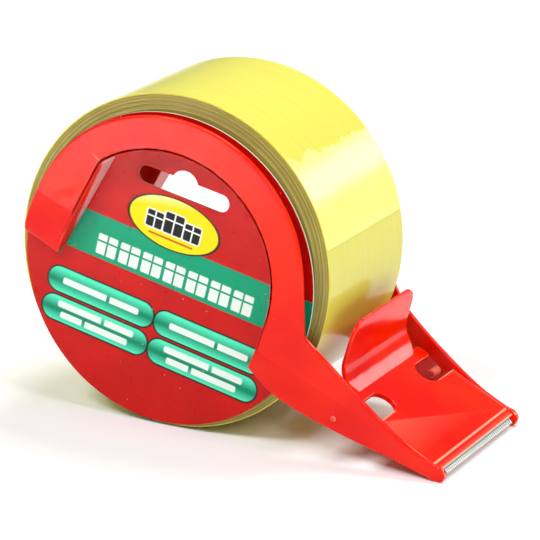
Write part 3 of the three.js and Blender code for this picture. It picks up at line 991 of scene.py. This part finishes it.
# The print is drawn in millimetres from the roll's axis: u along its lines and v up across them.
PRINT_TILT = math.radians(-14.5)
SHARP = 0.12  # width of a printed edge's blur
BAND = {"top": 5.35, "bottom": -7.2}
PARCEL_ROW = {"centre": (1.6, -2.9), "cell": 7.2, "half_run": 25.2, "half_size": (3.1, 3.0), "string": 0.22}
BADGE = {"centre": (-1.9, 10.9), "half_width": 13.9, "half_height": 7.2, "base": -3.0, "string": 0.16}
BADGE_PARCELS = ((-5.9, 2.5, 2.4), (0.0, 2.9, 3.0), (5.9, 2.5, 2.4))  # centre, half width, half height
PILL_COLUMNS = ((-31.8, -5.2), (2.6, 29.8))
PILL_ROWS = (-17.7, -26.3)
PILL_RADIUS = 3.7
BAR = {"half_height": 0.95, "corner": 0.6, "gap": 0.45, "line_rise": 1.5}


def rounded_box(u, v, half_width, half_height, radius):
    """How far a point is outside a rounded box about the origin."""
    past_side = (abs(u) - (half_width - radius)).larger(0.0)
    past_end = (abs(v) - (half_height - radius)).larger(0.0)
    return length_of(past_side, past_end) - radius


def inside(distance, edge=0.0):
    return (distance - edge).ramp(SHARP, -SHARP)


def parcel(du, dv, half_width, half_height, strings):
    """A parcel seen from the front: how far a point is outside it, and where its strings are."""
    upright = abs(du).ramp(strings + SHARP, strings)
    level = abs(dv - half_height * 0.28).ramp(strings + SHARP, strings)
    return rounded_box(du, dv, half_width, half_height, 0.5), upright.larger(level)


def parcels(u, v):
    """A row of white parcels."""
    half_run = PARCEL_ROW["half_run"]
    du = u.repeated(PARCEL_ROW["cell"])
    distance, strings = parcel(du, v, *PARCEL_ROW["half_size"], PARCEL_ROW["string"])
    return inside(distance) * abs(u).ramp(half_run + SHARP, half_run) * (-strings + 1.0)


def bars(du, dv, half, lines):
    """One or two lines of round-ended bars, each line broken into two bars of unequal length."""
    made = None
    for index in range(lines):
        line_v = dv - (0.0 if lines == 1 else BAR["line_rise"] * (1 - 2 * index))
        gap = abs(du - half * (0.14 - 0.34 * index)).ramp(BAR["gap"], BAR["gap"] + SHARP)
        bar_half = half * (0.72 - 0.08 * index)
        bar = inside(rounded_box(du, line_v, bar_half, BAR["half_height"], BAR["corner"])) * gap
        made = bar if made is None else made.larger(bar)
    return made


def pill(tree, art, u, v, ends, centre_v, lines):
    """A green button with a black outline, lighter upper and lower edges and white bars on it."""
    left, right = ends
    half = (right - left) / 2 + PILL_RADIUS
    du, dv = u - (left + right) / 2, v - centre_v
    distance = rounded_box(du, dv, half, PILL_RADIUS, PILL_RADIUS)
    glow = painted(tree, colour(0, 142, 104), abs(dv + 0.3).ramp(0.4, 3.2), colour(84, 238, 190))
    art = painted(tree, art, inside(distance, 0.42), colour(12, 10, 8))
    art = painted(tree, art, inside(distance, -0.05), glow)
    return painted(tree, art, bars(du, dv, half, lines), colour(236, 250, 240))


def badge(tree, art, u, v):
    """A yellow oval with a black rim and three black parcels on it."""
    black, white = colour(14, 12, 8), colour(248, 250, 244)
    distance = length_of(u / BADGE["half_width"], v / BADGE["half_height"]) - 1.0
    shine = painted(tree, colour(250, 232, 0), (v * 0.5 - u * 0.12).ramp(2.4, 4.2), colour(255, 255, 170))
    art = painted(tree, art, distance.ramp(0.062, 0.045), black)
    art = painted(tree, art, distance.ramp(0.01, -0.01), shine)
    for centre, half_width, half_height in BADGE_PARCELS:
        dv = v - BADGE["base"] - half_height
        box, strings = parcel(u - centre, dv, half_width, half_height, BADGE["string"])
        art = painted(tree, art, inside(box, 0.4), white)
        art = painted(tree, art, inside(box), black)
        art = painted(tree, art, inside(box) * strings, white)
    underline = rounded_box(u, v + 4.6, 7.0, 0.28, 0.28)
    return painted(tree, art, inside(underline), colour(206, 92, 20))


def card_print():
    """Generic packaging art: a green band with a row of parcels, a badge and four buttons."""
    material, tree, shader = new_material("card_print")
    place, x, _, z = design_position(tree)
    cos, sin = math.cos(PRINT_TILT), math.sin(PRINT_TILT)
    u, v = x * cos + z * sin, z * cos - x * sin
    patchy = noise(tree, place, 0.08, 2.0)
    red = painted(tree, colour(190, 8, 2), patchy.ramp(0.3, 0.7), colour(208, 12, 4))
    band = (v - BAND["top"]).ramp(SHARP, -SHARP) * (v - BAND["bottom"]).ramp(-SHARP, SHARP)
    art = painted(tree, red, band, colour(0, 160, 116))
    row_u, row_v = PARCEL_ROW["centre"]
    art = painted(tree, art, parcels(u - row_u, v - row_v), colour(236, 250, 240))
    for row, centre_v in enumerate(PILL_ROWS):
        for ends in PILL_COLUMNS:
            art = pill(tree, art, u, v, ends, centre_v, 1 + row)
    badge_u, badge_v = BADGE["centre"]
    art = badge(tree, art, u - badge_u, v - badge_v)
    specks = dots(tree, place, 0.3, 0.2)
    art = painted(tree, art, specks * 0.6, colour(255, 214, 190))
    gloss = noise(tree, place, 0.5, 3.0)
    bumped(tree, shader, noise(tree, place, 0.6, 1.0), 0.02)
    feed_all(tree, shader, {"Base Color": art, "Roughness": gloss * 0.16 + 0.22, "Specular IOR Level": 0.2})
    return material


def tape_film():
    """Glossy yellow-tan film. The last stretch before the cut end holds air and looks paler; its paler
    colour also carries a painted sheen of reflected light.
    """
    material, tree, shader = new_material("tape_film")
    place, x, y, z = design_position(tree)
    turn = z.apply("ARCTAN2", x) * (180 / math.pi)
    jagged = noise(tree, vector(tree, y * 0.1, turn * 0.05, 0.0), 1.0, 5.0, 0.6)
    upper = jagged * 18.0 + 33.0 - y * 0.06
    flap_and_sheen = (turn - TAPE_END_ANGLE).ramp(-0.1, 0.1) * (upper - turn).ramp(-0.2, 0.2)
    wound = noise(tree, vector(tree, turn * 0.02, y * 0.5, 0.0), 1.0, 2.0)
    deep, bright = colour(212, 206, 82), colour(222, 218, 94)
    film = painted(tree, deep, wound, bright)
    ripple = noise(tree, vector(tree, turn * 0.12, y * 0.05, 0.0), 1.0, 2.0)
    bumped(tree, shader, ripple * 0.1 + flap_and_sheen * 0.1, 1.0)
    feed_all(tree, shader, {
        # the pale stretch is partly the film's own paler colour where it holds air and partly a painted
        # reflected sheen
        "Base Color": painted(tree, film, flap_and_sheen, colour(250, 248, 132)),
        "Roughness": noise(tree, place, 0.4, 3.0) * 0.08 + 0.14,
        "Specular IOR Level": 0.2,
        "Coat Weight": 0.08,
        "Coat Roughness": 0.08,
    })
    return material


def tape_edge():
    """The side of the roll: the edges of hundreds of layers, some paler, some darker."""
    material, tree, shader = new_material("tape_edge")
    place, x, _, z = design_position(tree)
    radius = length_of(x, z)
    broad = noise(tree, vector(tree, radius * 1.1, 0.0, 0.0), 1.0, 2.0)
    fine = noise(tree, vector(tree, radius * 3.2, 0.0, 0.0), 1.0, 3.0, 0.7)
    smear = noise(tree, place, 0.12, 2.0)
    dark, tan, pale = colour(104, 90, 18), colour(168, 156, 60), colour(216, 212, 124)
    layers = painted(tree, dark, fine.ramp(0.3, 0.6), tan)
    layers = painted(tree, layers, broad.ramp(0.42, 0.7), pale)
    layers = painted(tree, layers, smear.ramp(0.4, 0.8) * 0.3, colour(142, 118, 50))
    last_layer = radius.ramp(ROLL_RADIUS - 0.5, ROLL_RADIUS - 0.25)
    layers = painted(tree, layers, last_layer, colour(240, 226, 70))
    bumped(tree, shader, fine + broad, 0.05)
    feed_all(tree, shader, {"Base Color": layers, "Roughness": fine * 0.25 + 0.3})
    return material


def studio_floor():
    """Plain pale matt paper with a fine grain."""
    material, tree, shader = new_material("studio_floor")
    place = tree.nodes.new("ShaderNodeTexCoord").outputs["Object"]
    grain = noise(tree, place, 30.0, 4.0)
    paper = painted(tree, (0.87, 0.87, 0.87, 1), grain, (0.9, 0.9, 0.9, 1))
    feed_all(tree, shader, {"Base Color": paper, "Roughness": 0.8})
    return material


# --- studio -----------------------------------------------

# Angles in degrees, the distance in metres and the lens in millimetres.
CAMERA = {"azimuth": 25.71, "elevation": 17.67, "roll": 1.96, "distance": 0.9122, "lens": 218.6}
CAMERA_AIM = Vector((0.0002, -0.0017, -0.0052))  # from the middle of the object's box
FLOOR_RADIUS = 6.0
WORLD_STRENGTH = 0.24
SOFTBOXES = (  # name, place, aim, size, power in watts, spread in degrees
    ("key", (-0.5, -0.7, 1.1), (-0.1, -0.15, 0.03), (0.42, 0.42), 11, 180),
    ("fill", (0.85, -0.2, 0.9), (0, 0, 0.04), (0.5, 0.5), 7, 180),
    ("back", (0.5, 0.98, 0.39), (0, 0, 0.04), (0.36, 0.2), 1.5, 180),
    ("top", (0.1, 0.6, 1.3), (0, 0.2, 0.04), (0.6, 0.6), 12, 180),
    ("front", (-0.35, -0.62, 0.45), (-0.22, -0.35, 0), (0.06, 0.06), 1.2, 30),
)


def add_camera():
    low, high = cad_bounds
    target = (low + high) / 2 + CAMERA_AIM
    azimuth, elevation = math.radians(CAMERA["azimuth"]), math.radians(CAMERA["elevation"])
    back = Vector((
        math.sin(azimuth) * math.cos(elevation),
        -math.cos(azimuth) * math.cos(elevation),
        math.sin(elevation),
    ))
    camera = bpy.data.objects.new("camera", bpy.data.cameras.new("camera"))
    camera.data.lens = CAMERA["lens"]
    camera.location = target + back * CAMERA["distance"]
    roll = Matrix.Rotation(math.radians(CAMERA["roll"]), 4, "Z")
    camera.rotation_euler = ((-back).to_track_quat("-Z", "Y").to_matrix().to_4x4() @ roll).to_euler()
    bpy.context.scene.collection.objects.link(camera)
    bpy.context.scene.camera = camera


def add_floor():
    mesh = bmesh.new()
    bmesh.ops.create_circle(mesh, cap_ends=True, segments=96, radius=FLOOR_RADIUS)
    data = bpy.data.meshes.new("floor")
    mesh.to_mesh(data)
    mesh.free()
    data.materials.append(studio_floor())
    floor = bpy.data.objects.new("floor", data)
    bpy.context.scene.collection.objects.link(floor)


def add_softbox(name, place, aim, size, power, spread):
    light = bpy.data.objects.new(name, bpy.data.lights.new(name, "AREA"))
    light.data.shape = "RECTANGLE"
    light.data.size, light.data.size_y = size
    light.data.energy = power
    light.data.spread = math.radians(spread)
    light.location = place
    light.rotation_euler = (Vector(aim) - Vector(place)).to_track_quat("-Z", "Y").to_euler()
    light.visible_camera = False
    bpy.context.scene.collection.objects.link(light)


def add_lights():
    for softbox in SOFTBOXES:
        add_softbox(*softbox)
    world = bpy.data.worlds.new("studio")
    world.use_nodes = True
    background = world.node_tree.nodes["Background"]
    background.inputs["Color"].default_value = (1, 1, 1, 1)
    background.inputs["Strength"].default_value = WORLD_STRENGTH
    bpy.context.scene.world = world
    bpy.context.scene.view_settings.view_transform = "Standard"


add_camera()
add_floor()
add_lights()
moulding()
steel_blade()
printed_card()
core_tube()
wound_tape()
